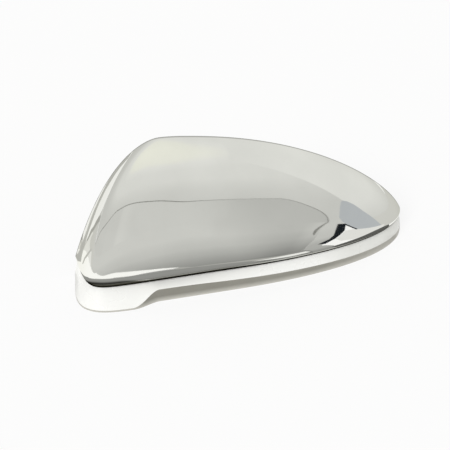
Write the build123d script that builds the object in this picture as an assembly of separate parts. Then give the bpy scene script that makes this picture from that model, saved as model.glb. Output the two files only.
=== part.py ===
from build123d import *
import math
import os

# Wing mirror cover: a one-piece plated shell, open at the rear and below.
# Millimetres. X runs from the root end to the tip, Y to the rear, Z up.
# The rear rim lies in one upright plane and the lower edge in one level plane.

# Outline in plan at the waist of the shell, about an upright axis that stands behind the rim
ROOT_REACH = 78.0
TIP_REACH = 168.0
FRONT_REACH = 46.2
AXIS_BEHIND_RIM = 11.5
ROOT_SQUARENESS = 9.0
TIP_SQUARENESS = 2.75

# Crown of the shell: its height above the lower edge, and its fall towards the tip
CROWN_HEIGHT = 104.5
CROWN_FALL = 0.13

# How the wall rises from the waist: its lean, its upright run and its level run
LEAN_ROOT, LEAN_FRONT, LEAN_TIP = 0.42, 0.115, 0.15
RISE_ROOT, RISE_FRONT, RISE_TIP = 0.63, 0.71, 0.37
ROOF_ROOT, ROOF_FRONT, ROOF_TIP = 0.39, 0.51, 0.59

# Rolled lower edge of the bulge, which turns in to a sharp crease
CREASE_HEIGHT = 13.8
ROLL_REAR = 3.2
ROLL_CORNER = 10.5
ROLL_FRONT = 11.3
ROLL_TIP = 3.2
TURN_REAR = 45.0
TURN_FRONT = 57.0
TURN_TIP = 40.0

# Ledge below the crease, which falls towards the tip, its eased edge, and its flared foot at the root end
LEDGE_OUT = 0.8
LEDGE_HEIGHT = 10.2
LEDGE_TIP_HEIGHT = 4.2
LEDGE_BREAK = 0.6
FOOT_OUT = 6.2
FOOT_HEIGHT = 1.6
SIDE_OUT = 1.2

# Where these change over, as spans of the half turn from root to tip
ROLL_GROWS = (0.04, 0.32)
ROLL_EASES = (0.0, 0.55)
ROLL_FADES = (0.55, 1.0)
TURN_GROWS = (0.04, 0.24)
TURN_FADES = (0.7, 1.0)
FLARE_GROWS = (0.03, 0.24)
FOOT_ENDS = (0.326, 0.394)

# Moulded wall, and how full it stays behind the crease
WALL = 2.4
BEAD_FULLNESS = 1.25

# Snap clips inside the rear rim, at shares of the way along it from root to tip
CLIP_SHARES = (0.13, 0.32, 0.48, 0.64, 0.82)
CLIP_INSET = 7.0
CLIP_WIDTH = 12.0
CLIP_THICKNESS = 2.2
CLIP_REACH = 13.0
CLIP_NOSE = 2.4
CLIP_NOSE_LENGTH = 5.0
CLIP_LAND = 1.5
GUSSET_THICKNESS = 1.8
GUSSET_RUN = 10.0
GUSSET_REACH = 7.0

# How finely the skins are followed: outline from one section to the next, in millimetres and degrees,
# sections across the foot's bend, steps down the wall and round the roll, then how closely faces meet
SECTION_RUN = 4.0
SECTION_TURN = 5.0
FOOT_SECTIONS = 10
WALL_STEPS = 16
ROLL_STEPS = 9
SKIN_TOLERANCE = 0.01
SEAM_TOLERANCE = 0.001

# How far a cutting shape runs past what it cuts
CLEAR = 5.0


def ease(value):
    """Smooth step from 0 to 1."""
    value = min(max(value, 0.0), 1.0)
    return value * value * (3 - 2 * value)


def ramp(share, span):
    """Smooth step from 0 to 1 across a span."""
    return ease((share - span[0]) / (span[1] - span[0]))


def blend(share, root, front, tip):
    """A value that runs from root to tip, with its own value across the front."""
    weight = math.sin(share * math.pi) ** 2
    ends = root + (tip - root) * ease(share)
    return ends * (1 - weight) + front * weight


def waist(share):
    """Point of the waist outline in plan, measured from the upright axis."""
    power = ROOT_SQUARENESS + (TIP_SQUARENESS - ROOT_SQUARENESS) * ease(share)
    cos = math.cos(share * math.pi)
    sin = math.sin(share * math.pi)
    size = (abs(cos) ** power + abs(sin) ** power) ** (1 / power)
    along = -cos / size
    x = ROOT_REACH * along + (TIP_REACH - ROOT_REACH) * max(along, 0.0) ** 3
    return x, -(FRONT_REACH + AXIS_BEHIND_RIM) * sin / size


def outward(share):
    """Outward direction of the waist outline in plan."""
    step = 1e-4
    x0, y0 = waist(share - step)
    x1, y1 = waist(share + step)
    return Vector(y1 - y0, x0 - x1, 0).normalized()


def roll_radius(share):
    """Radius of the rolled edge."""
    radius = ROLL_CORNER + (ROLL_FRONT - ROLL_CORNER) * ramp(share, ROLL_EASES)
    radius += (ROLL_TIP - radius) * ramp(share, ROLL_FADES)
    return ROLL_REAR + (radius - ROLL_REAR) * ramp(share, ROLL_GROWS)


def roll_turn(share):
    """Angle below level at which the rolled edge meets the crease, in radians."""
    turn = TURN_REAR + (TURN_FRONT - TURN_REAR) * ramp(share, TURN_GROWS)
    return math.radians(turn + (TURN_TIP - turn) * ramp(share, TURN_FADES))


def waist_height(share):
    """Height of the waist, set so that the crease runs level."""
    x, y = waist(share)
    facing = outward(share)
    radius = roll_radius(share)
    turn = roll_turn(share)
    lean = blend(share, LEAN_ROOT, LEAN_FRONT, LEAN_TIP)
    rise = CROWN_HEIGHT - CROWN_FALL * x - CREASE_HEIGHT - radius * math.sin(turn)
    slant = math.atan(lean * (x * facing.X + y * facing.Y) / rise)
    return CREASE_HEIGHT + radius * (math.sin(slant) + math.sin(turn))


def meridian(share):
    """The four control points of the wall's curve from the waist up to the crown."""
    x, y = waist(share)
    low = waist_height(share)
    rise = blend(share, RISE_ROOT, RISE_FRONT, RISE_TIP)
    roof = blend(share, ROOF_ROOT, ROOF_FRONT, ROOF_TIP)
    drawn_in = 1 - blend(share, LEAN_ROOT, LEAN_FRONT, LEAN_TIP) * rise
    lifted = low + rise * (CROWN_HEIGHT - CROWN_FALL * x - low)
    return [
        Vector(x, AXIS_BEHIND_RIM + y, low),
        Vector(x * drawn_in, AXIS_BEHIND_RIM + y * drawn_in, lifted),
        Vector(x * roof, AXIS_BEHIND_RIM + y * roof, CROWN_HEIGHT - CROWN_FALL * x * roof),
        Vector(0, AXIS_BEHIND_RIM, CROWN_HEIGHT),
    ]


def cubic(poles, at):
    """Point of a cubic curve."""
    back = 1 - at
    low = poles[0] * back**3 + poles[1] * (3 * at * back**2)
    return low + poles[2] * (3 * at**2 * back) + poles[3] * at**3


def wall_normal(share, at):
    """Outward normal of the wall."""
    if at == 1.0:
        return Vector(CROWN_FALL, 0, 1).normalized()
    step = 1e-4
    poles = meridian(share)
    around = cubic(meridian(share + step), at) - cubic(meridian(share - step), at)
    up = cubic(poles, at + step) - cubic(poles, at - step)
    normal = around.cross(up)
    if share in (0.0, 1.0):
        normal.Y = 0
    return normal.normalized()


def section(share):
    """One section: the wall's curve, then the band as pairs of outward and upward distance."""
    poles = meridian(share)
    facing = outward(share)
    normal = wall_normal(share, 0.0)
    radius = roll_radius(share)
    start = math.atan2(normal.Z, normal.dot(facing))
    end = -roll_turn(share)
    centre = (-radius * math.cos(start), poles[0].Z - radius * math.sin(start))
    crease = polar(centre, radius, end)
    past_foot = ramp(share, FOOT_ENDS)
    flare = SIDE_OUT + (FOOT_OUT - SIDE_OUT) * ramp(share, FLARE_GROWS)
    edge_out = flare + (LEDGE_OUT - flare) * past_foot
    fall = ramp(share, (FOOT_ENDS[1], 1.0))
    ledge_height = LEDGE_HEIGHT + (LEDGE_TIP_HEIGHT - LEDGE_HEIGHT) * fall
    edge_height = FOOT_HEIGHT + (ledge_height - FOOT_HEIGHT) * past_foot
    return {
        "share": share,
        "poles": poles,
        "facing": facing,
        "centre": centre,
        "radius": radius,
        "angles": [start + (end - start) * (step + 1) / ROLL_STEPS for step in range(ROLL_STEPS)],
        "crease": crease,
        "edge": (edge_out, edge_height),
        "slope": math.atan2(crease[1] - edge_height, edge_out - crease[0]),
    }


def polar(centre, radius, angle):
    """Point at an angle about a centre, in the plane of the band."""
    return centre[0] + radius * math.cos(angle), centre[1] + radius * math.sin(angle)


def band_point(cut, out, height):
    """Point of the band, given outward from the waist and up from the lower edge."""
    foot = cut["poles"][0] + cut["facing"] * out
    return Vector(foot.X, foot.Y, height)


def skin(cut, inset):
    """Points down the bulge from the crown to the end of the roll, a given depth inside its face."""
    points = []
    for step in range(WALL_STEPS + 1):
        at = (1 + math.cos(math.pi * step / WALL_STEPS)) / 2
        points.append(cubic(cut["poles"], at) - wall_normal(cut["share"], at) * inset)
    for angle in cut["angles"]:
        points.append(band_point(cut, *polar(cut["centre"], cut["radius"] - inset, angle)))
    return points


def outer_band(cut):
    """Points of the band below the crease: the eased edge of the ledge, then the lower edge."""
    out, height = cut["edge"]
    slope = cut["slope"]
    return [
        band_point(cut, out - LEDGE_BREAK * math.cos(slope), height + LEDGE_BREAK * math.sin(slope)),
        band_point(cut, out, height - LEDGE_BREAK),
        band_point(cut, out, 0.0),
    ]


def inner_band(cut):
    """Points of the inside of the band: round the back of the crease, under the ledge, down the skirt."""
    crease = cut["crease"]
    slope = cut["slope"]
    under = polar(crease, WALL, 1.5 * math.pi - slope)
    behind = polar(crease, WALL * BEAD_FULLNESS, (2.5 * math.pi + cut["angles"][-1] - slope) / 2)
    skirt = cut["edge"][0] - WALL
    return [
        band_point(cut, *behind),
        band_point(cut, *under),
        band_point(cut, skirt, under[1] - (skirt - under[0]) * math.tan(slope)),
        band_point(cut, skirt, -CLEAR),
    ]


def section_shares():
    """Where the sections stand: closer together where the outline turns and where the foot bends."""
    count = 4000
    shares = [0.0]
    due = 0.0
    for index in range(count):
        share = (index + 0.5) / count
        x0, y0 = waist(share - 0.5 / count)
        x1, y1 = waist(share + 0.5 / count)
        turned = outward(share - 0.5 / count).get_angle(outward(share + 0.5 / count))
        due += math.hypot(x1 - x0, y1 - y0) / SECTION_RUN + turned / SECTION_TURN
        if FOOT_ENDS[0] < share < FOOT_ENDS[1]:
            due += FOOT_SECTIONS / count / (FOOT_ENDS[1] - FOOT_ENDS[0])
        if due > 1.0 and share < 0.99:
            shares.append(share)
            due -= 1.0
    return shares + [1.0]


def filled(skins, bands):
    """Closed solid inside a skin and the ruled strips below it, flat behind the axis and underneath."""
    bulge = Face.make_surface_from_array_of_points(skins, tol=SKIN_TOLERANCE, min_deg=3, max_deg=5)
    low = [points[-1] for points in skins]
    crease = bulge.edges().sort_by_distance(low[len(low) // 2])[0]
    if (crease @ 0 - low[0]).length > (crease @ 1 - low[0]).length:
        low = low[::-1]
        bands = bands[::-1]
    run = [0.0]
    for first, second in zip(low, low[1:]):
        run.append(run[-1] + (second - first).length)
    rails = [crease]
    for row in zip(*bands):
        rails.append(Edge.make_spline(list(row), parameters=[at / run[-1] for at in run]))
    strips = [Face.make_surface_from_curves(upper, lower) for upper, lower in zip(rails, rails[1:])]
    base = Edge.make_line(rails[-1] @ 0, rails[-1] @ 1)
    rear_edges = [base]
    for face in [bulge] + strips:
        for edge in face.edges():
            if abs((edge @ 0.5).Y - AXIS_BEHIND_RIM) < SEAM_TOLERANCE and edge.length > SEAM_TOLERANCE:
                rear_edges.append(edge)
    rear = Face(Wire(rear_edges))
    floor = Face(Wire([rails[-1], base]))
    return Solid(Shell([bulge, *strips, rear, floor]))


def rim_line(skins, back):
    """Where the inside skin meets an upright plane, from root to tip."""
    line = []
    for points in skins:
        for first, second in zip(points, points[1:]):
            if first.Y > back >= second.Y:
                line.append(first + (second - first) * ((first.Y - back) / (first.Y - second.Y)))
                break
    return line


def clip(line, share):
    """One snap clip and its gusset, standing in from the wall at a share of the rim line."""
    run = [0.0]
    for first, second in zip(line, line[1:]):
        run.append(run[-1] + (second - first).length)
    index = 1
    while run[index] < share * run[-1]:
        index += 1
    along = (line[index] - line[index - 1]).normalized()
    inward = Vector(along.Z, 0, -along.X)
    place = Plane(origin=line[index], x_dir=inward, z_dir=Vector(-inward.Z, 0, inward.X))
    catch = CLIP_REACH - CLIP_NOSE_LENGTH
    hook = Polyline(
        (-CLEAR, -CLIP_THICKNESS),
        (CLIP_REACH, -CLIP_THICKNESS),
        (CLIP_REACH, 0),
        (catch + CLIP_LAND, CLIP_NOSE),
        (catch, CLIP_NOSE),
        (catch, 0),
        (-CLEAR, 0),
        close=True,
    )
    stay = Polyline(
        (-CLEAR, -CLIP_THICKNESS / 2),
        (GUSSET_REACH, -CLIP_THICKNESS / 2),
        (GUSSET_REACH, -CLIP_THICKNESS),
        (-CLEAR, -CLIP_THICKNESS - GUSSET_RUN * (GUSSET_REACH + CLEAR) / GUSSET_REACH),
        close=True,
    )
    arm = extrude(place * make_face(hook), amount=CLIP_WIDTH / 2, both=True)
    return arm + extrude(place * make_face(stay), amount=GUSSET_THICKNESS / 2, both=True)


cuts = [section(share) for share in section_shares()]
outer_skins = [skin(cut, 0.0) for cut in cuts]
inner_skins = [skin(cut, WALL) for cut in cuts]
outside = filled(outer_skins, [outer_band(cut) for cut in cuts])
hollow = filled(inner_skins, [inner_band(cut) for cut in cuts])

# The clips are what is left standing when the hollow is taken out
rim = rim_line(inner_skins, -CLIP_INSET)
for share in CLIP_SHARES:
    hollow = hollow - clip(rim, share)

# Trim to the rear rim, then take out the hollow
span = 4 * TIP_REACH
behind_rim = Pos(0, span / 2, 0) * Box(span, span, span)
cover = (outside - behind_rim) - hollow

# Stand the part with the middle of its footprint at the origin
box = cover.bounding_box()
cover = Pos(-box.center().X, -box.center().Y, -box.min.Z) * cover
cover.label = "mirror_cover"

os.makedirs("parts", exist_ok=True)
export_step(cover, "parts/mirror_cover.step")
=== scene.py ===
import math
import bmesh
import bpy
import numpy as np
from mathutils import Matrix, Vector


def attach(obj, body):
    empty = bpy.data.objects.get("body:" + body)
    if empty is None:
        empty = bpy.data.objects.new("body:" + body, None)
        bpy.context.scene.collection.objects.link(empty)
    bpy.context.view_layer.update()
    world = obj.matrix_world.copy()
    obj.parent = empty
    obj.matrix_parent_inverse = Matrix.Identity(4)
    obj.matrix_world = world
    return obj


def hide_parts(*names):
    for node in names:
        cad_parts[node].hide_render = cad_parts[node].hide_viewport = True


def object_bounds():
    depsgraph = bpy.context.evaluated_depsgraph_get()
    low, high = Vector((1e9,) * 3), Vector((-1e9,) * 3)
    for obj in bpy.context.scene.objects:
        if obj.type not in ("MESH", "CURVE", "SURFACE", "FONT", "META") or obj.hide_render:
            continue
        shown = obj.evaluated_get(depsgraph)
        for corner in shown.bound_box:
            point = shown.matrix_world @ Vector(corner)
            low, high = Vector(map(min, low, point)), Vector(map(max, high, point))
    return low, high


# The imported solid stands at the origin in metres: X from the root end to the tip, Y to the rear, Z up.
# Its box places the pieces that are made below.
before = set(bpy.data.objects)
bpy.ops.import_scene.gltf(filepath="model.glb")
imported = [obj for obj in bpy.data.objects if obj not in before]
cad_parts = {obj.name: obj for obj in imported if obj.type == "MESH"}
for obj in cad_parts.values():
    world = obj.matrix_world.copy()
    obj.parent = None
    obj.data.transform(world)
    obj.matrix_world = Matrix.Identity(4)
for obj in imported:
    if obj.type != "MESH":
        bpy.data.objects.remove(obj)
cad_low, cad_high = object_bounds()


# Shell: one moulding of ABS, plated with bright chrome, open at the rear and below.
# Its bulge rolls in to a sharp crease, and the ledge below it flares to a foot at the root end.
# The skin follows the same rule as the solid, in millimetres, so that its reflections run smooth.
MM = 0.001
# Outline in plan, from an axis behind the rim, and the crown above it.
ROOT_REACH = 78.0
TIP_REACH = 168.0
FRONT_REACH = 46.2
AXIS_BEHIND_RIM = 11.5
ROOT_SQUARENESS = 9.0
TIP_SQUARENESS = 2.75
CROWN_HEIGHT = 104.5
CROWN_FALL = 0.13
# How far the wall leans in, stands up and rounds over to the roof, at the root, the front and the tip.
LEANS = (0.42, 0.115, 0.15)
RISES = (0.63, 0.71, 0.37)
ROOFS = (0.39, 0.51, 0.59)
# Rolled lower edge, and the degrees below level by which it turns in to the crease.
CREASE_HEIGHT = 13.8
ROLL_END = 3.2
ROLL_CORNER = 10.5
ROLL_FRONT = 11.3
TURN_REAR = 45.0
TURN_FRONT = 57.0
TURN_TIP = 40.0
# Ledge below the crease, foot at the root end, and skirt.
LEDGE_OUT = 0.8
LEDGE_HEIGHT = 10.2
LEDGE_TIP_HEIGHT = 4.2
LEDGE_BREAK = 0.6
FOOT_OUT = 6.2
FOOT_HEIGHT = 1.6
SIDE_OUT = 1.2
LOWER_EASE = 0.4
# Thickness of the wall, the bead behind the crease, and the rim with its eased edges.
WALL = 2.4
BEAD_FULLNESS = 1.25
RIM_EASE = 0.4
RIM_PULL = 0.414
RIM_POINTS = 4
# Shares of the way from the root (0) to the tip (1) over which these sizes change.
ROLL_EASES = (0.0, 0.55)
ROLL_FADES = (0.55, 1.0)
ROLL_GROWS = (0.04, 0.32)
TURN_GROWS = (0.04, 0.24)
TURN_FADES = (0.7, 1.0)
FLARE_GROWS = (0.03, 0.24)
FOOT_BENDS = (0.326, 0.394)
# Rings down the wall and down each part of the band, and columns from the root to the tip.
WALL_RINGS = 100
BAND_RINGS = (18, 6, 4, 4, 3)
COLUMNS = 300
COLUMN_RUN = 2.0
COLUMN_TURN = 2.0
BEND_EXTRA = 0.12
FINE_STEPS = 4001
# Search for where a ring meets the rim.
PROBES = 801
HALVINGS = 50
LEVEL_PAST_RIM = 0.9
END_ROUNDS = 3
END_NUDGE = 1e-6
END_MOVE = 5e-4
# Step by which directions are measured.
TINY = 1e-4
# Plating: its clouds and ripples, and where painted shade darkens it and painted light lightens it.
CLOUD_SIZE = 45.0
RIPPLE_SIZE = 22.0
HAZE = (0.3, 0.7)
HAZY_ROUGHNESS = 1.3
CLEAR_ROUGHNESS = 0.8
CREASE_SHADE = 0.36
CREASE_SHADE_CORNER = 0.15
CREASE_SHADE_TIP = 0.46
CREASE_SHADE_RUN = 0.18
CORNER_GROWS = (0.2, 0.26)
CORNER_FADES = (0.3, 0.37)
TIP_GROWS = (0.57, 0.69)
RIM_SHADE = 1.8
RIM_SHADE_MOST = 0.5
LEDGE_PAINTED_SHADE = (46.0, 74.0)
SKIRT_PAINTED_LIGHT = (50.0, 120.0)
EDGE_PAINTED_LIGHT = (4.2, 0.6)
# Finished mesh, in metres and degrees.
MERGE = 2e-6
SHARP_ANGLE = 28.0


def ease(value):
    """Smooth step from 0 to 1."""
    value = np.clip(value, 0, 1)
    return value * value * (3 - 2 * value)


def ramp(share, first, last):
    """Smooth step from 0 to 1 across a span."""
    return ease((share - first) / (last - first))


def along(share, root, front, tip):
    """A value that runs from root to tip, with its own value across the front."""
    weight = np.sin(share * np.pi) ** 2
    return (root + (tip - root) * ease(share)) * (1 - weight) + front * weight


def waist(share):
    """The outline in plan from the axis behind the rim, squarish at the root and drawn out at the tip."""
    power = ROOT_SQUARENESS + (TIP_SQUARENESS - ROOT_SQUARENESS) * ease(share)
    cos = np.cos(share * np.pi)
    sin = np.sin(share * np.pi)
    size = (np.abs(cos) ** power + np.abs(sin) ** power) ** (1 / power)
    run = -cos / size
    x = ROOT_REACH * run + (TIP_REACH - ROOT_REACH) * np.maximum(run, 0) ** 3
    return x, -(FRONT_REACH + AXIS_BEHIND_RIM) * sin / size


def outward(share):
    """Outward direction of that outline."""
    x0, y0 = waist(share - TINY)
    x1, y1 = waist(share + TINY)
    length = np.hypot(x1 - x0, y1 - y0)
    return (y1 - y0) / length, (x0 - x1) / length


def roll(share):
    """Radius of the rolled lower edge, and how far below level it turns."""
    radius = ROLL_CORNER + (ROLL_FRONT - ROLL_CORNER) * ramp(share, *ROLL_EASES)
    radius = radius + (ROLL_END - radius) * ramp(share, *ROLL_FADES)
    radius = ROLL_END + (radius - ROLL_END) * ramp(share, *ROLL_GROWS)
    turn = TURN_REAR + (TURN_FRONT - TURN_REAR) * ramp(share, *TURN_GROWS)
    return radius, np.radians(turn + (TURN_TIP - turn) * ramp(share, *TURN_FADES))


def wall(share, level):
    """Point of the wall: a cubic curve from the waist (level 0) to the crown (level 1)."""
    x, y = waist(share)
    out_x, out_y = outward(share)
    radius, turn = roll(share)
    lean = along(share, *LEANS)
    rise = CROWN_HEIGHT - CROWN_FALL * x - CREASE_HEIGHT - radius * np.sin(turn)
    slant = np.arctan(lean * (x * out_x + y * out_y) / rise)
    low = CREASE_HEIGHT + radius * (np.sin(slant) + np.sin(turn))
    upright = along(share, *RISES)
    roof = along(share, *ROOFS)
    first = (1 - level) ** 3
    second = 3 * level * (1 - level) ** 2
    third = 3 * level ** 2 * (1 - level)
    reach = first + second * (1 - lean * upright) + third * roof
    height = first * low + second * (low + upright * (CROWN_HEIGHT - CROWN_FALL * x - low))
    height = height + third * (CROWN_HEIGHT - CROWN_FALL * x * roof) + level ** 3 * CROWN_HEIGHT
    return np.stack([x * reach, AXIS_BEHIND_RIM + y * reach, height], axis=-1)


def wall_normal(share, level):
    """Outward direction of the wall."""
    around = wall(share + TINY, level) - wall(share - TINY, level)
    up = wall(share, level + TINY) - wall(share, level - TINY)
    normal = np.cross(around, up)
    return normal / np.linalg.norm(normal, axis=-1, keepdims=True)


def band(share, depth, inset):
    """Point of the band below the wall, or of its inside: distance outwards, and height as imaginary part.

    Depth runs down the roll (to 1), ledge (2), eased edge (3), skirt (4) and lower edge (5).
    """
    out_x, out_y = outward(share)
    normal = wall_normal(share, 0.0)
    radius, turn = roll(share)
    start = np.arctan2(normal[:, 2], normal[:, 0] * out_x + normal[:, 1] * out_y)
    centre = 1j * wall(share, 0.0)[:, 2] - radius * np.exp(1j * start)
    if depth <= 1:
        return centre + (radius - inset) * np.exp(1j * (start - (turn + start) * depth))
    crease = centre + radius * np.exp(-1j * turn)
    past_foot = ramp(share, *FOOT_BENDS)
    flare = SIDE_OUT + (FOOT_OUT - SIDE_OUT) * ramp(share, *FLARE_GROWS)
    ledge = LEDGE_HEIGHT + (LEDGE_TIP_HEIGHT - LEDGE_HEIGHT) * ramp(share, FOOT_BENDS[1], 1)
    edge = flare + (LEDGE_OUT - flare) * past_foot + 1j * (FOOT_HEIGHT + (ledge - FOOT_HEIGHT) * past_foot)
    slope = -np.angle(edge - crease)
    # Inside, a bead fills the fold behind the crease, on the line halfway between roll and ledge.
    if inset:
        behind = crease + BEAD_FULLNESS * inset * np.exp(0.5j * (2.5 * np.pi - turn - slope))
        under = crease - 1j * inset * np.exp(-1j * slope)
        skirt = edge.real - inset
        corner = skirt + 1j * (under.imag - (skirt - under.real) * np.tan(slope))
        stops = [crease - inset * np.exp(-1j * turn), behind, under, corner, skirt]
        bends = {}
    else:
        eased = [edge - LEDGE_BREAK * np.exp(-1j * slope), edge - 1j * LEDGE_BREAK]
        stops = [crease, *eased, edge.real + 1j * LOWER_EASE, edge.real - LOWER_EASE]
        bends = {2: edge, 4: edge.real}
    step = math.ceil(depth) - 1
    part = depth - step
    first = stops[step - 1]
    last = stops[step]
    middle = bends.get(step, (first + last) / 2)
    return first * (1 - part) ** 2 + middle * 2 * part * (1 - part) + last * part ** 2


def face(share, level, inset):
    """Points of the outer face, or of the inner face a wall's thickness behind it."""
    if level >= 0:
        return wall(share, level) - inset * wall_normal(share, level)
    foot = wall(share, 0.0)
    place = band(share, -level, inset)
    out_x, out_y = outward(share)
    return np.stack([foot[:, 0] + out_x * place.real, foot[:, 1] + out_y * place.real, place.imag], axis=-1)


def halved(test, outer, inner):
    """Where a test that holds at inner stops holding on the way to outer."""
    for _ in range(HALVINGS):
        middle = (outer + inner) / 2
        holds = test(middle)
        outer = np.where(holds, outer, middle)
        inner = np.where(holds, middle, inner)
    return inner


def rings(inset, back):
    """Rows of points of one face from the crown to the lower edge, each ended at an upright plane."""
    probe = np.linspace(0, 1, PROBES)
    crown = float(halved(lambda level: face(probe, level, inset)[:, 1].min() < back, LEVEL_PAST_RIM, 0.0))
    levels = [crown * (1 + math.cos(math.pi * ring / WALL_RINGS)) / 2 for ring in range(WALL_RINGS + 1)]
    for step, count in enumerate(BAND_RINGS):
        levels += [-step - (ring + 1) / count for ring in range(count)]
    rows = []
    for level in levels:
        depth = face(probe, level, inset)[:, 1]
        front = depth.argmin()
        root = np.interp(-back, -depth[:front + 1], probe[:front + 1])
        tip = np.interp(back, depth[front:], probe[front:])
        ends = np.array([root, tip])
        for _ in range(END_ROUNDS):
            miss = face(ends, level, inset)[:, 1] - back
            slope = face(ends + END_NUDGE, level, inset)[:, 1] - back - miss
            ends = ends - np.clip(END_NUDGE * miss / slope, -END_MOVE, END_MOVE)
        if level == crown:
            ends = np.array([probe[front]] * 2)
        rows.append(face(np.clip(columns, *ends), level, inset))
    return np.array(rows)


# Columns stand closer where the outline turns and where the foot bends up to the ledge.
fine = np.linspace(0, 1, FINE_STEPS)
x, y = waist(fine)
turning = np.unwrap(np.arctan2(*outward(fine)))
spent = np.hypot(np.diff(x), np.diff(y)) / COLUMN_RUN
spent = spent + np.abs(np.diff(turning)) / math.radians(COLUMN_TURN)
spent += np.where((fine[1:] > FOOT_BENDS[0]) & (fine[1:] < FOOT_BENDS[1]), BEND_EXTRA, 0)
spent = np.concatenate([[0], np.cumsum(spent)])
columns = np.interp(np.linspace(0, spent[-1], COLUMNS), spent, fine)

# Each ring runs along the outer face, round the rim, back along the inner face and round the rim again.
outer = rings(0.0, -RIM_EASE)
inner = rings(WALL, -RIM_EASE)
outer_rim = rings(0.0, 0.0)[:, [0, -1]]
inner_rim = rings(WALL, 0.0)[:, [0, -1]]
across = inner_rim - outer_rim
across = across / np.linalg.norm(across, axis=-1, keepdims=True) * RIM_EASE
outer_turn = outer_rim + across
inner_turn = inner_rim - across
outer_mid = outer_rim * RIM_PULL + (outer[:, [0, -1]] + outer_turn) * (1 - RIM_PULL) / 2
inner_mid = inner_rim * RIM_PULL + (inner[:, [0, -1]] + inner_turn) * (1 - RIM_PULL) / 2
rim = np.stack([outer_mid, outer_turn, inner_turn, inner_mid], axis=2)
loops = np.concatenate([outer, rim[:, 1], inner[:, ::-1], rim[:, 0, ::-1]], axis=1)
inner_from = COLUMNS + RIM_POINTS
inner_to = inner_from + COLUMNS

# Faces join each ring to the next, and the last ones close the wall along its lower edge.
count, width = loops.shape[:2]
index = np.arange(count * width).reshape(count, width)
after = np.roll(index, -1, axis=1)
quads = np.stack([index[:-1], index[1:], after[1:], after[:-1]], axis=-1).reshape(-1, 4).tolist()
last = index[-1]
back = last[inner_from:inner_to][::-1]
front = last[:COLUMNS]
quads += np.stack([front[:-1], back[:-1], back[1:], front[1:]], axis=-1).tolist()
quads.append([front[-1], back[-1]] + last[COLUMNS:inner_from][::-1].tolist())
quads.append([back[0], front[0]] + last[inner_to:][::-1].tolist())

# Finishes by face: bulge 0, ledge 1, skirt and lower edge 2, inside 3.
roll_rings, ledge_rings, edge_rings, skirt_rings, lower_rings = BAND_RINGS
spans = (WALL_RINGS + roll_rings, ledge_rings + edge_rings // 2, edge_rings // 2 + skirt_rings + lower_rings)
finishes = np.repeat(np.repeat((0, 1, 2), spans)[:, None], width, axis=1)
finishes[:, inner_from:inner_to - 1] = 3
finishes = np.append(finishes.ravel(), np.full(len(quads) - finishes.size, 2))

# Painted shade darkens the plating deep in the crease, from the middle of the roll down.
painted_crease_shade = np.zeros((count, width))
depths = np.arange(1, roll_rings + 1) / roll_rings
corner = ramp(columns, *CORNER_GROWS) * (1 - ramp(columns, *CORNER_FADES))
begins = CREASE_SHADE + (CREASE_SHADE_CORNER - CREASE_SHADE) * corner
begins = begins + (CREASE_SHADE_TIP - CREASE_SHADE) * ramp(columns, *TIP_GROWS)
shaded_rows = ramp(depths[:, None], begins, begins + CREASE_SHADE_RUN)
painted_crease_shade[WALL_RINGS + 1:WALL_RINGS + 1 + roll_rings, :COLUMNS] = shaded_rows


def placed(name, data):
    """Adds an object to the scene."""
    piece = bpy.data.objects.new(name, data)
    bpy.context.collection.objects.link(piece)
    return piece


def merged(mesh):
    """A form from a mesh, with doubled points merged and faces without area dropped."""
    form = bmesh.new()
    form.from_mesh(mesh)
    bmesh.ops.remove_doubles(form, verts=form.verts, dist=MERGE)
    bmesh.ops.dissolve_degenerate(form, edges=form.edges, dist=MERGE)
    return form


def smoothed(form, mesh):
    """Writes a form to its mesh, smooth apart from the sharp edges."""
    form.to_mesh(mesh)
    form.free()
    mesh.shade_smooth()
    mesh.set_sharp_from_angle(angle=math.radians(SHARP_ANGLE))


points = loops.reshape(-1, 3) * MM
middle = (points[:, 0].min() + points[:, 0].max()) / 2
shift = np.array([(cad_low.x + cad_high.x) / 2 - middle, cad_high.y, cad_low.z])
mesh = bpy.data.meshes.new("shell")
mesh.from_pydata((points + shift).tolist(), [], quads)
mesh.polygons.foreach_set("material_index", finishes)
mesh.attributes.new("painted_crease_shade", "FLOAT", "POINT").data.foreach_set("value", painted_crease_shade.ravel())
form = merged(mesh)
bmesh.ops.recalc_face_normals(form, faces=form.faces)
smoothed(form, mesh)
shell = placed("shell", mesh)


def tone(code):
    """Linear colour of an sRGB hex code."""
    parts = [int(code[at:at + 2], 16) / 255 for at in (0, 2, 4)]
    return [part / 12.92 if part < 0.04045 else ((part + 0.055) / 1.055) ** 2.4 for part in parts] + [1]


def add(tree, kind, inputs=None, **settings):
    """Adds a node with its settings, and sets or links its inputs."""
    made = tree.nodes.new(kind)
    for name, value in settings.items():
        setattr(made, name, value)
    for name, value in (inputs or {}).items():
        if isinstance(value, bpy.types.NodeSocket):
            tree.links.new(value, made.inputs[name])
        else:
            made.inputs[name].default_value = value
    return made


def material(name):
    """An empty node material and its tree."""
    made = bpy.data.materials.new(name)
    made.use_nodes = True
    made.node_tree.nodes.clear()
    return made, made.node_tree


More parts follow.
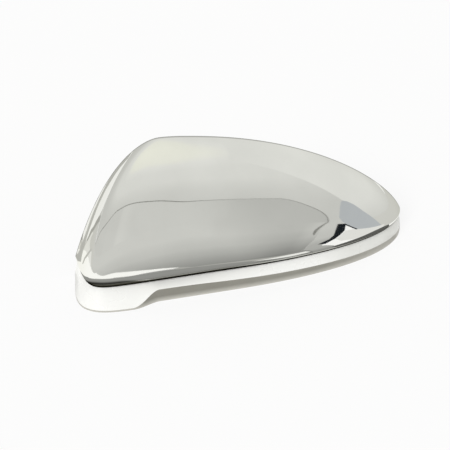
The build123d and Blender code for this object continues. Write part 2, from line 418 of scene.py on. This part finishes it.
def plated(name, bright, dull, rough, ripple, metal=1.0, shade=None):
    """Plating over moulded plastic, clouded a little by handling and rippled by the moulding under it."""
    made, tree = material(name)
    place = add(tree, "ShaderNodeTexCoord").outputs["Object"]
    clouds = {"Vector": place, "Scale": 1 / (CLOUD_SIZE * MM), "Detail": 4.0}
    cloud = add(tree, "ShaderNodeTexNoise", clouds).outputs["Fac"]
    limits = {"Value": cloud, "From Min": HAZE[0], "From Max": HAZE[1]}
    haze = add(tree, "ShaderNodeMapRange", limits, interpolation_type="SMOOTHSTEP").outputs["Result"]
    tones = {0: haze, 6: tone(dull), 7: tone(bright)}
    colour = add(tree, "ShaderNodeMix", tones, data_type="RGBA").outputs[2]
    gloss = {"Value": haze, "To Min": rough * HAZY_ROUGHNESS, "To Max": rough * CLEAR_ROUGHNESS}
    ripples = {"Vector": place, "Scale": 1 / (RIPPLE_SIZE * MM), "Detail": 1.0}
    swell = add(tree, "ShaderNodeTexNoise", ripples).outputs["Fac"]
    relief = add(tree, "ShaderNodeBump", {"Height": swell, "Distance": ripple * MM, "Strength": 1.0})
    if shade:
        colour = shade(tree, place, colour)
    shader = add(tree, "ShaderNodeBsdfPrincipled", {
        "Base Color": colour,
        "Metallic": metal,
        "Roughness": add(tree, "ShaderNodeMapRange", gloss).outputs["Result"],
        "Normal": relief.outputs["Normal"],
    })
    # Full metal takes its colour at glancing angles too, so that the painted shade stays dark from every
    # side.
    if metal == 1.0:
        tree.links.new(colour, shader.inputs["Specular Tint"])
    add(tree, "ShaderNodeOutputMaterial", {"Surface": shader.outputs[0]})
    return made


def painted_crease_and_rim_shade(tree, place, colour):
    """Painted shade: darker deep in the crease and along the rim."""
    deep = add(tree, "ShaderNodeAttribute", attribute_name="painted_crease_shade").outputs["Fac"]
    rear = add(tree, "ShaderNodeSeparateXYZ", {"Vector": place}).outputs["Y"]
    edge = float(shift[1])
    span = {
        "Value": rear,
        "From Min": edge - RIM_SHADE * MM,
        "From Max": edge - RIM_SHADE * MM / 2,
        "To Max": RIM_SHADE_MOST,
    }
    near = add(tree, "ShaderNodeMapRange", span).outputs["Result"]
    most = add(tree, "ShaderNodeMath", {0: deep, 1: near}, operation="MAXIMUM").outputs["Value"]
    return add(tree, "ShaderNodeMix", {0: most, 6: colour, 7: tone("5C5B56")}, data_type="RGBA").outputs[2]


def painted_along_axis(tree, place, colour, axis, span, code):
    """Another colour along one axis of the cover, from a first to a last place, for painted light or shade.
    """
    run = add(tree, "ShaderNodeSeparateXYZ", {"Vector": place}).outputs[axis]
    limits = {"Value": run, "From Min": span[0] * MM, "From Max": span[1] * MM}
    part = add(tree, "ShaderNodeMapRange", limits).outputs["Result"]
    return add(tree, "ShaderNodeMix", {0: part, 6: colour, 7: tone(code)}, data_type="RGBA").outputs[2]


def painted_flange_shade(tree, place, colour):
    """Painted shade: the flange a little greyer towards the tip."""
    return painted_along_axis(tree, place, colour, "X", LEDGE_PAINTED_SHADE, "ECECE7")


def painted_skirt_light(tree, place, colour):
    """Painted light: the skirt lighter towards the tip and towards its lower edge."""
    colour = painted_along_axis(tree, place, colour, "X", SKIRT_PAINTED_LIGHT, "C6C4BC")
    return painted_along_axis(tree, place, colour, "Z", EDGE_PAINTED_LIGHT, "CCCAC2")


# Chrome over polished ABS mirrors the room. Inside, thin plating over an unpolished face only glows.
# The flange below the crease is satin plated and looks almost white, and the skirt is a duller beige satin.
# Painted shade darkens the chrome in the crease and along the rim and greys the flange towards the tip;
# painted light lightens the skirt towards the tip and its lower edge.
chrome = plated("chrome_plated_abs", "F8F8F4", "F2F2EE", 0.04, 0.03, shade=painted_crease_and_rim_shade)
inside = plated("chrome_plated_inside", "D8D8D2", "C6C6C0", 0.16, 0.03)
mesh.materials.append(chrome)
mesh.materials.append(plated("satin_plated_flange", "FAFAF7", "F7F7F3", 0.32, 0.01, metal=0.1, shade=painted_flange_shade))
mesh.materials.append(plated("satin_plated_skirt", "98968D", "908E85", 0.5, 0.02, metal=0.1, shade=painted_skirt_light))
mesh.materials.append(inside)
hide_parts("mirror_cover")
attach(shell, "root")


# Snap clips: five hooks moulded inside the rear rim, which hold the cover on its housing.
# Each is a flat arm with a raised nose, propped by a thin gusset, and stands square to the rim.
# They are drawn too long at the wall, and cut back to just inside it.
CLIP_SHARES = (0.2194, 0.3498, 0.4898, 0.627, 0.8083)
CLIP_INSET = 7.0
CLIP_WIDTH = 12.0
CLIP_THICKNESS = 2.2
CLIP_REACH = 13.0
CLIP_CATCH = 8.0
CLIP_LAND = 1.5
CLIP_NOSE = 2.4
GUSSET_THICKNESS = 1.8
GUSSET_REACH = 7.0
GUSSET_RUN = 10.0
GUSSET_ROWS = 12
CLIP_OVERRUN = 5.0
CLIP_SEAT = 1.0
CLIP_EASE = 0.25
CLIP_EASE_STEPS = 2
CLIP_EDGE_ANGLE = 30.0
RIM_STEP = 0.5
SEAT_RAY = 30.0


def plate(form, corners, faces, thickness):
    """Adds a closed flat plate of a given thickness, level with the middle plane."""
    made = [form.verts.new((x, y, -thickness / 2)) for x, y in corners]
    flat = [form.faces.new([made[at] for at in ring]) for ring in faces]
    grown = bmesh.ops.extrude_face_region(form, geom=flat, use_keep_orig=True)["geom"]
    moved = [part for part in grown if isinstance(part, bmesh.types.BMVert)]
    bmesh.ops.translate(form, vec=(0, 0, thickness), verts=moved)


hook = [(-CLIP_OVERRUN, -CLIP_THICKNESS), (CLIP_REACH, -CLIP_THICKNESS), (CLIP_REACH, 0)]
hook += [(CLIP_CATCH + CLIP_LAND, CLIP_NOSE), (CLIP_CATCH, CLIP_NOSE), (CLIP_CATCH, 0), (-CLIP_OVERRUN, 0)]
stay = []
for row in range(GUSSET_ROWS + 1):
    reach = GUSSET_REACH - (GUSSET_REACH + CLIP_OVERRUN) * row / GUSSET_ROWS
    drop = -CLIP_THICKNESS - GUSSET_RUN * (GUSSET_REACH - reach) / GUSSET_REACH
    stay += [(-CLIP_OVERRUN, drop), (reach, drop)]
steps = [(2 * row, 2 * row + 1, 2 * row + 3, 2 * row + 2) for row in range(GUSSET_ROWS - 1)]
steps.append((2 * GUSSET_ROWS - 2, 2 * GUSSET_ROWS - 1, 2 * GUSSET_ROWS))
form = bmesh.new()
plate(form, hook, [range(len(hook))], CLIP_WIDTH)
plate(form, stay[:-1], steps, GUSSET_THICKNESS)
bmesh.ops.recalc_face_normals(form, faces=form.faces)
bmesh.ops.scale(form, vec=(MM, MM, MM), verts=form.verts)
pattern = bpy.data.meshes.new("clip_pattern")
form.to_mesh(pattern)
form.free()
clip = placed("clip_pattern", pattern)

# The rim line runs up the root side, over the crown and down to the tip.
sides = rings(WALL, -CLIP_INSET)[:WALL_RINGS + roll_rings + 1, [0, -1]]
line = np.concatenate([sides[::-1, 0], sides[1:, 1]])
run = np.concatenate([[0], np.cumsum(np.linalg.norm(np.diff(line, axis=0), axis=-1))])
places = []
inwards = []
for share in CLIP_SHARES:
    stations = [share * run[-1] + step for step in (-RIM_STEP, 0, RIM_STEP)]
    near = np.stack([np.interp(stations, run, line[:, axis]) for axis in range(3)], axis=-1)
    rise = near[2] - near[0]
    places.append(near[1] * MM + shift)
    inwards.append(np.array([rise[2], 0, -rise[0]]) / np.linalg.norm(rise))

spots = bpy.data.meshes.new("snap_clips")
spots.from_pydata([place.tolist() for place in places], [], [])
spots.attributes.new("inward", "FLOAT_VECTOR", "POINT").data.foreach_set("vector", np.ravel(inwards))
clips = placed("snap_clips", spots)

# The tree stands a clip on each spot, then looks along it for the wall and draws in what lies past its seat.
tree = bpy.data.node_groups.new("clips_on_rim", "GeometryNodeTree")
sockets = {"Spots": "Geometry", "Clip": "Object", "Wall": "Object", "Seat": "Float", "Finish": "Material"}
names = {}
for name, kind in sockets.items():
    names[name] = tree.interface.new_socket(name, in_out="INPUT", socket_type="NodeSocket" + kind).identifier
tree.interface.new_socket("Clips", in_out="OUTPUT", socket_type="NodeSocketGeometry")
given = add(tree, "NodeGroupInput").outputs
stored = add(tree, "GeometryNodeInputNamedAttribute", {"Name": "inward"}, data_type="FLOAT_VECTOR")
inward = stored.outputs["Attribute"]
axes = {"Primary Axis": inward, "Secondary Axis": (0, 1, 0)}
turned = add(tree, "FunctionNodeAxesToRotation", axes, primary_axis="X", secondary_axis="Y")
hooks = add(tree, "GeometryNodeInstanceOnPoints", {
    "Points": given["Spots"],
    "Instance": add(tree, "GeometryNodeObjectInfo", {"Object": given["Clip"]}).outputs["Geometry"],
    "Rotation": turned.outputs["Rotation"],
}).outputs["Instances"]
solid = add(tree, "GeometryNodeRealizeInstances", {"Geometry": hooks}).outputs["Geometry"]
place = add(tree, "GeometryNodeInputPosition").outputs["Position"]
lead = add(tree, "ShaderNodeVectorMath", {0: inward, "Scale": SEAT_RAY * MM}, operation="SCALE")
source = add(tree, "ShaderNodeVectorMath", {0: place, 1: lead.outputs["Vector"]})
outwards = add(tree, "ShaderNodeVectorMath", {0: inward, "Scale": -1.0}, operation="SCALE")
struck = add(tree, "GeometryNodeRaycast", {
    "Target Geometry": add(tree, "GeometryNodeObjectInfo", {"Object": given["Wall"]}).outputs["Geometry"],
    "Source Position": source.outputs["Vector"],
    "Ray Direction": outwards.outputs["Vector"],
    "Ray Length": 2 * SEAT_RAY * MM,
}).outputs
lengths = {0: SEAT_RAY * MM, 1: struck["Hit Distance"]}
gap = add(tree, "ShaderNodeMath", lengths, operation="SUBTRACT").outputs[0]
excess = add(tree, "ShaderNodeMath", {0: gap, 1: given["Seat"]}, operation="SUBTRACT").outputs[0]
draw = add(tree, "ShaderNodeMath", {0: excess, 1: 0.0}, operation="MAXIMUM").outputs[0]
drawn = add(tree, "ShaderNodeVectorMath", {0: inward, "Scale": draw}, operation="SCALE")
seated = add(tree, "GeometryNodeSetPosition", {
    "Geometry": solid,
    "Selection": struck["Is Hit"],
    "Offset": drawn.outputs["Vector"],
}).outputs["Geometry"]
finished = add(tree, "GeometryNodeSetMaterial", {"Geometry": seated, "Material": given["Finish"]})
add(tree, "NodeGroupOutput", {"Clips": finished.outputs["Geometry"]})
standing = clips.modifiers.new("clips_on_rim", "NODES")
standing.node_group = tree
standing[names["Clip"]] = clip
standing[names["Wall"]] = shell
standing[names["Seat"]] = CLIP_SEAT * MM
standing[names["Finish"]] = inside
graph = bpy.context.evaluated_depsgraph_get()
made = bpy.data.meshes.new_from_object(clips.evaluated_get(graph), depsgraph=graph)
clips.modifiers.remove(standing)
clips.data = made
bpy.data.objects.remove(clip)

# What was drawn flat at the wall leaves loose faces, which go before the edges are eased.
form = merged(made)
loose = [facet for facet in form.faces if any(edge.is_boundary for edge in facet.edges)]
while loose:
    bmesh.ops.delete(form, geom=loose, context="FACES")
    loose = [facet for facet in form.faces if any(edge.is_boundary for edge in facet.edges)]
bmesh.ops.recalc_face_normals(form, faces=form.faces)
sharp = math.radians(CLIP_EDGE_ANGLE)
edges = [edge for edge in form.edges if edge.is_manifold and edge.calc_face_angle() > sharp]
easing = {"offset": CLIP_EASE * MM, "segments": CLIP_EASE_STEPS, "affect": "EDGES", "clamp_overlap": True}
bmesh.ops.bevel(form, geom=edges, **easing)
smoothed(form, made)
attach(clips, "root")


# Table and surround: a white paper table under even white light, as for a catalogue picture.
# The table shows white to the eye and in the plating, and keeps a soft shadow of the cover.
TABLE_HALF = 6.0
TABLE_SHADOW = 0.2
WORLD_LEVEL = 0.62
KEY_LEVEL = 1.45
KEY_SPREAD = 25.0
KEY_TILT = 52.0
KEY_TURN = -40.0


def card(name, corners, finish):
    """A flat stage piece with a finish of its own."""
    made = bpy.data.meshes.new(name)
    made.from_pydata(corners, [], [list(range(len(corners)))])
    made.materials.append(finish)
    piece = placed(name, made)
    return piece


paper, tree = material("white_paper")
path = add(tree, "ShaderNodeLightPath").outputs
seen = path["Is Camera Ray"]
for ray in ("Is Glossy Ray", "Is Transmission Ray"):
    seen = add(tree, "ShaderNodeMath", {0: seen, 1: path[ray]}, operation="MAXIMUM").outputs[0]
shader = add(tree, "ShaderNodeMixShader", {
    0: add(tree, "ShaderNodeMath", {0: seen, 1: 1 - TABLE_SHADOW}, operation="MULTIPLY").outputs[0],
    1: add(tree, "ShaderNodeBsdfDiffuse", {"Color": tone("FCFCFB")}).outputs[0],
    2: add(tree, "ShaderNodeEmission", {"Color": tone("FFFFFF"), "Strength": 1.0}).outputs[0],
})
add(tree, "ShaderNodeOutputMaterial", {"Surface": shader.outputs[0]})
card("table", [(x * TABLE_HALF, y * TABLE_HALF, 0) for x, y in ((-1, -1), (1, -1), (1, 1), (-1, 1))], paper)

world = bpy.data.worlds.new("surround")
bpy.context.scene.world = world
world.use_nodes = True
world.node_tree.nodes["Background"].inputs["Color"].default_value = tone("FFFFFF")
world.node_tree.nodes["Background"].inputs["Strength"].default_value = WORLD_LEVEL
lamp = bpy.data.lights.new("key", "SUN")
lamp.energy = KEY_LEVEL
lamp.angle = math.radians(KEY_SPREAD)
key = placed("key", lamp)
key.rotation_euler = (math.radians(KEY_TILT), 0, math.radians(KEY_TURN))
key.visible_glossy = False
bpy.context.scene.view_settings.view_transform = "Standard"


# Room round the table, seen only in the plating: a pale tent, boards, papers on the table and a window.
# Most are a little greyer than the table, so that the mirror finish reads as metal.
# Places are in metres, and the papers lie on the table in thin layers, counted upwards.
TENT_RADIUS = 4.0
TENT_SIDES = 48
TENT_ROWS = 24
BELOW_TABLE = -0.01
BOARD_AWAY = 1.2
BOARD_GAP = 0.01
EDGE_WIDTH = 0.025
LOW_BOARD_END = 1.6
LOW_BOARD_TOP = 0.02
RIGHT_AWAY = 1.6
PANE_AWAY = 0.2
PAPER_LAYER = 0.00005
PAPER_GREEN = 1.005
PAPER_BLUE = 0.975
SHEET_RUN = 0.25
HALF_FOOTPRINT = (0.118, 0.021, 0)
LEAST_AHEAD = -0.02
CORNER_CUT = 0.25
CORNER_ROUNDS = 3


def reflected(piece):
    """Keeps a stage piece for reflections alone."""
    piece.visible_camera = False
    piece.visible_diffuse = False
    piece.visible_shadow = False


def greys(tree, reading, stops):
    """Greys that follow a reading of the place: reading, brightness, and share of blue if not paper's."""
    place = add(tree, "ShaderNodeTexCoord").outputs["Object"]
    scale = add(tree, "ShaderNodeValToRGB", {"Fac": reading(tree, place)})
    marks = scale.color_ramp.elements
    for stop in stops[1:-1]:
        marks.new(stop[0])
    for mark, (at, level, *blue) in zip(marks, stops):
        mark.position = at
        mark.color = (level, level * PAPER_GREEN, level * (blue[0] if blue else PAPER_BLUE), 1)
    return scale.outputs["Color"]


def shaded(name, reading, stops, second=None):
    """A glowing board whose grey follows one reading of the place, times a second one where it is given."""
    made, tree = material(name)
    strength = greys(tree, *second) if second else 1.0
    light = add(tree, "ShaderNodeEmission", {"Color": greys(tree, reading, stops), "Strength": strength})
    add(tree, "ShaderNodeOutputMaterial", {"Surface": light.outputs[0]})
    return made


def glow(name, code):
    """A plain board of one colour."""
    made, tree = material(name)
    light = add(tree, "ShaderNodeEmission", {"Color": tone(code)})
    add(tree, "ShaderNodeOutputMaterial", {"Surface": light.outputs[0]})
    return made


def tent_height(tree, place):
    """Height in the tent, from the table (0) to its top (1)."""
    upward = add(tree, "ShaderNodeSeparateXYZ", {"Vector": place}).outputs["Z"]
    return add(tree, "ShaderNodeMath", {0: upward, 1: 1 / TENT_RADIUS}, operation="MULTIPLY").outputs[0]


def board_run(tree, place):
    """Place along the front board, from its left end (0) to its right end (1)."""
    run = add(tree, "ShaderNodeSeparateXYZ", {"Vector": place}).outputs["X"]
    span = {"From Min": -BOARD_AWAY, "From Max": BOARD_AWAY}
    return add(tree, "ShaderNodeMapRange", {"Value": run, **span}).outputs["Result"]


def sheet_bearing(tree, place):
    """Bearing of a place on the sheet: left of the cover (0), straight before it (0.5) or right (1)."""
    parts = add(tree, "ShaderNodeSeparateXYZ", {"Vector": place}).outputs
    ahead = add(tree, "ShaderNodeMath", {0: parts["Y"], 1: LEAST_AHEAD}, operation="MINIMUM").outputs[0]
    slant = add(tree, "ShaderNodeMath", {0: parts["X"], 1: ahead}, operation="DIVIDE").outputs[0]
    span = {"From Min": 1.0, "From Max": -1.0}
    return add(tree, "ShaderNodeMapRange", {"Value": slant, **span}).outputs["Result"]


def sheet_distance(tree, place):
    """Distance from the cover's footprint, as a share of the shaded run."""
    past = add(tree, "ShaderNodeVectorMath", {0: place, 1: (1, 1, 0)}, operation="MULTIPLY").outputs[0]
    past = add(tree, "ShaderNodeVectorMath", {0: past}, operation="ABSOLUTE").outputs[0]
    past = add(tree, "ShaderNodeVectorMath", {0: past, 1: HALF_FOOTPRINT}, operation="SUBTRACT").outputs[0]
    past = add(tree, "ShaderNodeVectorMath", {0: past, 1: (0, 0, 0)}, operation="MAXIMUM").outputs[0]
    length = add(tree, "ShaderNodeVectorMath", {0: past}, operation="LENGTH").outputs["Value"]
    return add(tree, "ShaderNodeMath", {0: length, 1: 1 / SHEET_RUN}, operation="MULTIPLY").outputs[0]


def lay(name, layer, corners, finish):
    """A paper cut to an outline and laid some layers above the table."""
    reflected(card(name, [(x, y, layer * PAPER_LAYER) for x, y in corners], finish))


def rounded(corners):
    """An open outline with its corners cut to smooth bends."""
    line = np.array(corners, dtype=float)
    for _ in range(CORNER_ROUNDS):
        early = line[:-1] * (1 - CORNER_CUT) + line[1:] * CORNER_CUT
        late = line[:-1] * CORNER_CUT + line[1:] * (1 - CORNER_CUT)
        bends = np.stack([early, late], axis=1).reshape(-1, line.shape[1])
        line = np.concatenate([line[:1], bends, line[-1:]])
    return line


def ribbon(name, corners, near, far, finish):
    """A strip along an outline, from a near to a far width, set to the side of the given offset."""
    line = rounded(corners)
    grow = np.linspace(0, 1, len(line))[:, None]
    other = line + np.array(near) * (1 - grow) + np.array(far) * grow
    reflected(card(name, line.tolist() + other[::-1].tolist(), finish))


# Tent of pale cloth, lighter with height and warm at its top.
dome = bpy.data.meshes.new("tent")
form = bmesh.new()
bmesh.ops.create_uvsphere(form, u_segments=TENT_SIDES, v_segments=TENT_ROWS, radius=TENT_RADIUS)
under = [corner for corner in form.verts if corner.co.z < BELOW_TABLE]
bmesh.ops.delete(form, geom=under, context="VERTS")
form.to_mesh(dome)
form.free()
dome.materials.append(shaded("tent_cloth", tent_height, (
    (0, 0.60), (0.3, 0.61), (0.48, 0.65), (0.64, 0.715), (0.8, 0.73), (0.87, 0.765),
    (0.92, 0.82, 0.925), (1, 0.85, 0.91),
)))
tent = placed("tent", dome)
reflected(tent)

# Right side of the room, brighter with height, and the table's far right, which lies in shade.
right_line = [(-0.95, 0), (2.5, 0), (2.5, 3.0), (-0.75, 3.0)]
lit = shaded("lit_cloth", tent_height, ((0, 0.64), (0.03, 0.67), (0.1, 0.75), (0.3, 0.78), (0.75, 0.74)))
reflected(card("lit_side", [(RIGHT_AWAY, y, z) for y, z in right_line], lit))
dim_table = glow("shaded_table", "CFCFCB")
lay("right_floor", 8, [
    (0.14, 0), (0.19, -0.028), (0.201, -0.08), (0.39, -0.2), (RIGHT_AWAY, -0.95), (RIGHT_AWAY, 0.9),
    (0.3, 0.3), (0.15, 0.1),
], dim_table)

# Sheet on the table before the cover, darker in the cover's shade and towards the right.
grey = shaded("shaded_sheet", sheet_distance, (
    (0, 0.25), (0.04, 0.29), (0.1, 0.31), (0.18, 0.29), (0.24, 0.36), (0.32, 0.45), (0.48, 0.55),
    (0.75, 0.59), (1, 0.62),
), second=(sheet_bearing, (
    (0, 1, 1), (0.55, 1, 1), (0.6, 0.97, 1), (0.66, 0.912, 1), (0.72, 0.855, 1),
    (0.78, 0.823, 1), (0.83, 0.82, 1), (0.9, 0.92, 1), (1, 0.95, 1),
)))
root_side = [(-0.25, 0.23), (-0.2, 0.178), (-0.176, 0.148), (-0.149, 0.119), (-0.145, 0.1085)]
root_side += [(-0.1415, 0.0975), (-0.1385, 0.0883), (-0.137, 0.0795), (-0.12, 0.075)]
sheet_right = [(0.06, -0.066), (0.103, -0.110), (0.235, -0.268), (1.04, -BOARD_AWAY)]
lay("sheet", 8, [
    (-BOARD_AWAY, 1.5), (-0.56, 0.56), *root_side, (-0.09, 0.0), (0.05, -0.01), *sheet_right,
    (-BOARD_AWAY, -BOARD_AWAY),
], grey)

# Boards that the sheet rises to, in front and on the left, with dark edges.
board_face = shaded("board_face", tent_height, ((0, 0.60), (0.5, 0.61)))
front_face = shaded("front_board_face", board_run, (
    (0, 0.61), (0.32, 0.61), (0.37, 0.65), (0.41, 0.65), (0.46, 0.62), (0.55, 0.615), (0.6, 0.6),
    (0.66, 0.565), (0.72, 0.53), (0.78, 0.51), (0.85, 0.505), (1, 0.5),
))
front_top = [(-BOARD_AWAY, 0.72), (-0.8, 0.70), (-0.5, 0.64), (-0.2, 0.60), (0.05, 0.53), (0.18, 0.42)]
front_top += [(0.30, 0.42), (0.47, 0.47), (0.68, 0.53), (0.88, 0.56), (1.07, 0.3), (1.1, 0.15), (1.04, 0)]
left_top = [(-BOARD_AWAY, 0.72), (-0.75, 0.50), (-0.4, 0.36), (-0.07, 0.22), (0.17, 0.04), (0.2, 0)]
front_line = [(x, -BOARD_AWAY, z) for x, z in rounded(front_top)]
left_line = [(-BOARD_AWAY, y, z) for y, z in rounded(left_top)]
foot_line = [(-BOARD_AWAY, 0), (LOW_BOARD_END, 0)]
foot_line += [(LOW_BOARD_END, LOW_BOARD_TOP), (-BOARD_AWAY, LOW_BOARD_TOP)]
reflected(card("front_board", front_line + [(-BOARD_AWAY, -BOARD_AWAY, 0)], front_face))
reflected(card("left_wall", [(-BOARD_AWAY - BOARD_GAP, y, z) for y, z in foot_line], board_face))
reflected(card("left_board", left_line + [(-BOARD_AWAY, -BOARD_AWAY, 0)], board_face))
dark = glow("board_edge", "868682")
nearer = -BOARD_AWAY + BOARD_GAP
ribbon("front_edge", [(x, nearer, z) for x, z in front_top], (0, 0, -EDGE_WIDTH), (-0.02, 0, 0), dark)
ribbon("left_edge", [(nearer, y, z) for y, z in left_top], (0, 0, -EDGE_WIDTH), (0, -EDGE_WIDTH, 0), dark)
edge_height = 16 * PAPER_LAYER
edge_line = [(x, y, edge_height) for x, y in ((1.04, nearer), (0.235, -0.28), (0.13, -0.15))]
ribbon("sheet_edge", edge_line, (-EDGE_WIDTH, 0, 0), (-0.001, 0, 0), dark)

# Table beside the root end: a shaded strip along the rim, and marks on the bare table next to the sheet.
lay("beside", 18, [
    (-0.1345, 0.05), (-0.1353, 0.062), (-0.1362, 0.072), (-0.1372, 0.08), (-0.138, 0.095), (-0.139, 0.111),
    (-0.1399, 0.12), (-0.1415, 0.145), (-0.1432, 0.172), (-0.1475, 0.205), (-0.1515, 0.236), (-0.165, 0.3),
    (-0.187, 0.4), (-0.217, 0.52), (-0.3, 0.82), (-0.36, 1.05), (-0.62, 2.0), (-0.1, 2.0), (-0.1, 0.05),
], glow("beside_shade", "BEBEBB"))
lay("left_floor", 12, [
    (-0.12, 0.06), (-0.15, 0.07), (-0.21, 0.06), (-0.3, -0.02), (-0.6, -0.02), (-0.56, 0.5), *root_side,
], dim_table)
lay("root_mark", 14, [
    (-1.15, 0.92), (-0.45, 0.4), *root_side[:7], (-0.143, 0.091), (-0.152, 0.104), (-0.165, 0.121),
    (-0.211, 0.157), (-0.265, 0.2), (-0.46, 0.34), (-1.15, 0.78),
], glow("root_mark", "AEAEAA"))
lay("root_shine", 13, [
    (-0.12, 0.066), (-0.137, 0.0735), (-0.1385, 0.081), (-0.144, 0.0915), (-0.153, 0.1045), (-0.168, 0.122),
    (-0.19, 0.139), (-0.21, 0.144), (-0.18, 0.119), (-0.178, 0.108), (-0.19, 0.099), (-0.24, 0.096),
    (-0.32, 0.095), (-0.31, 0.04), (-0.3, 0.01), (-0.295, -0.06), (-0.25, -0.06), (-0.2, 0.03),
], glow("root_shine", "E7E7E4"))

# Lighter sheet to the right of the first, up to a dark bar with a branch, and the cover's shade at the tip.
pale = shaded("pale_sheet", sheet_distance, ((0, 0.30), (0.06, 0.42), (0.24, 0.44), (0.36, 0.56), (1, 0.61)))
lay("side_sheet", 6, [
    (0.05, -0.012), *sheet_right, (2.2, -3.2), (3.4, -2.2), (0.43, -0.4), (0.178, -0.139), (0.114, -0.085),
    (0.088, -0.072), (0.078, -0.04), (0.07, -0.012),
], pale)
black = glow("window_bar", "1C2024")
lay("bar", 20, [
    (0.086, -0.077), (0.112, -0.089), (0.137, -0.109), (0.171, -0.145), (0.275, -0.252), (0.43, -0.41),
    (0.48, -0.385), (0.30, -0.236), (0.187, -0.133), (0.143, -0.1), (0.116, -0.082), (0.092, -0.071),
], black)
lay("branch", 20, [
    (0.48, -0.385), (0.318, -0.222), (0.244, -0.143), (0.2, -0.103), (0.196, -0.108), (0.234, -0.153),
    (0.302, -0.232), (0.44, -0.395),
], black)
lay("contact", 12, [
    (0.07, -0.024), (0.14, -0.026), (0.157, -0.014), (0.14, 0.004), (0.118, 0.014), (0.07, 0),
], glow("contact_shade", "5E5E5C"))
lay("tip_floor", 10, [
    (0.1, -0.03), (0.116, -0.08), (0.143, -0.098), (0.187, -0.13), (0.21, -0.12), (0.2, -0.02),
    (0.16, -0.02),
], glow("tip_floor", "E4E4E2"))

# White fold of the sheet close before the root end, which lights the top of the roll, and its tail.
lay("fold", 16, [
    (-0.118, 0.066), (-0.15, 0.074), (-0.205, 0.07), (-0.25, 0.045), (-0.285, 0), (-0.28, -0.06),
    (-0.245, -0.125), (-0.2, -0.126), (-0.15, -0.118), (-0.118, -0.116), (-0.104, -0.112), (-0.082, -0.097),
    (-0.066, -0.085), (-0.045, -0.0735), (-0.051, -0.0725), (-0.066, -0.077), (-0.083, -0.081),
    (-0.105, -0.092), (-0.13, -0.092), (-0.155, -0.097), (-0.18, -0.085), (-0.19, -0.04), (-0.175, 0.01),
    (-0.12, 0.03),
], glow("fold_white", "FFFFFD"))
lay("fold_mark", 17, [
    (-0.138, 0.048), (-0.1435, 0.0605), (-0.155, 0.0693), (-0.178, 0.0815), (-0.24, 0.105),
    (-0.33, 0.109), (-0.233, 0.09), (-0.187, 0.076), (-0.152, 0.061), (-0.1425, 0.05),
], glow("fold_mark", "C4C4C0"))
lay("fold_tail", 14, [
    (-0.056, -0.0795), (-0.03, -0.066), (0.05, -0.036), (0.05, -0.029), (0.01, -0.036), (-0.03, -0.058),
    (-0.051, -0.0725),
], glow("fold_tail", "B0B0AC"))
lay("fold_end", 18, [
    (0.004, -0.036), (0.02, -0.036), (0.036, -0.038), (0.051, -0.038), (0.051, -0.026), (0.034, -0.025),
    (0.02, -0.029),
], glow("fold_end", "F0F0EE"))

# Window to the right: a cool pane above the bar.
pane_line = [(-0.103, 0.0), (-0.117, 0.009), (-0.131, 0.019), (-0.139, 0.027), (-0.141, 0.045)]
pane_line += [(-0.126, 0.063), (-0.108, 0.080), (-0.09, 0.092), (-0.08, 0.095), (-0.07, 0.088)]
pane_line += [(-0.062, 0.074), (-0.056, 0.05), (-0.043, 0.022), (-0.035, 0.006), (-0.03, 0.0)]
reflected(card("pane", [(PANE_AWAY, y, z) for y, z in pane_line], glow("window_pane", "B7BBBF")))


# Camera: the height and side of the photograph, looking at the middle of the bulge.
# The aim is in the shell's own millimetres, and the focal length and shifts are in pixels of the picture.
AIM = (45.0, -20.0, 50.0)
AWAY = 1.0
TURN = -15.0
TILT = 32.26
IMAGE = 450
FOCAL = 1415
RIGHT = -24.8
UP = -18.3
SENSOR = 36.0
turn = math.radians(TURN)
tilt = math.radians(TILT)
toward = np.array([math.sin(turn) * math.cos(tilt), -math.cos(turn) * math.cos(tilt), math.sin(tilt)])
lens = bpy.data.cameras.new("camera")
lens.sensor_width = SENSOR
lens.lens = FOCAL * SENSOR / IMAGE
lens.shift_x = RIGHT / IMAGE
lens.shift_y = UP / IMAGE
camera = placed("camera", lens)
camera.location = np.array(AIM) * MM + shift + toward * AWAY
camera.rotation_euler = (math.pi / 2 - tilt, 0, turn)
bpy.context.scene.camera = camera
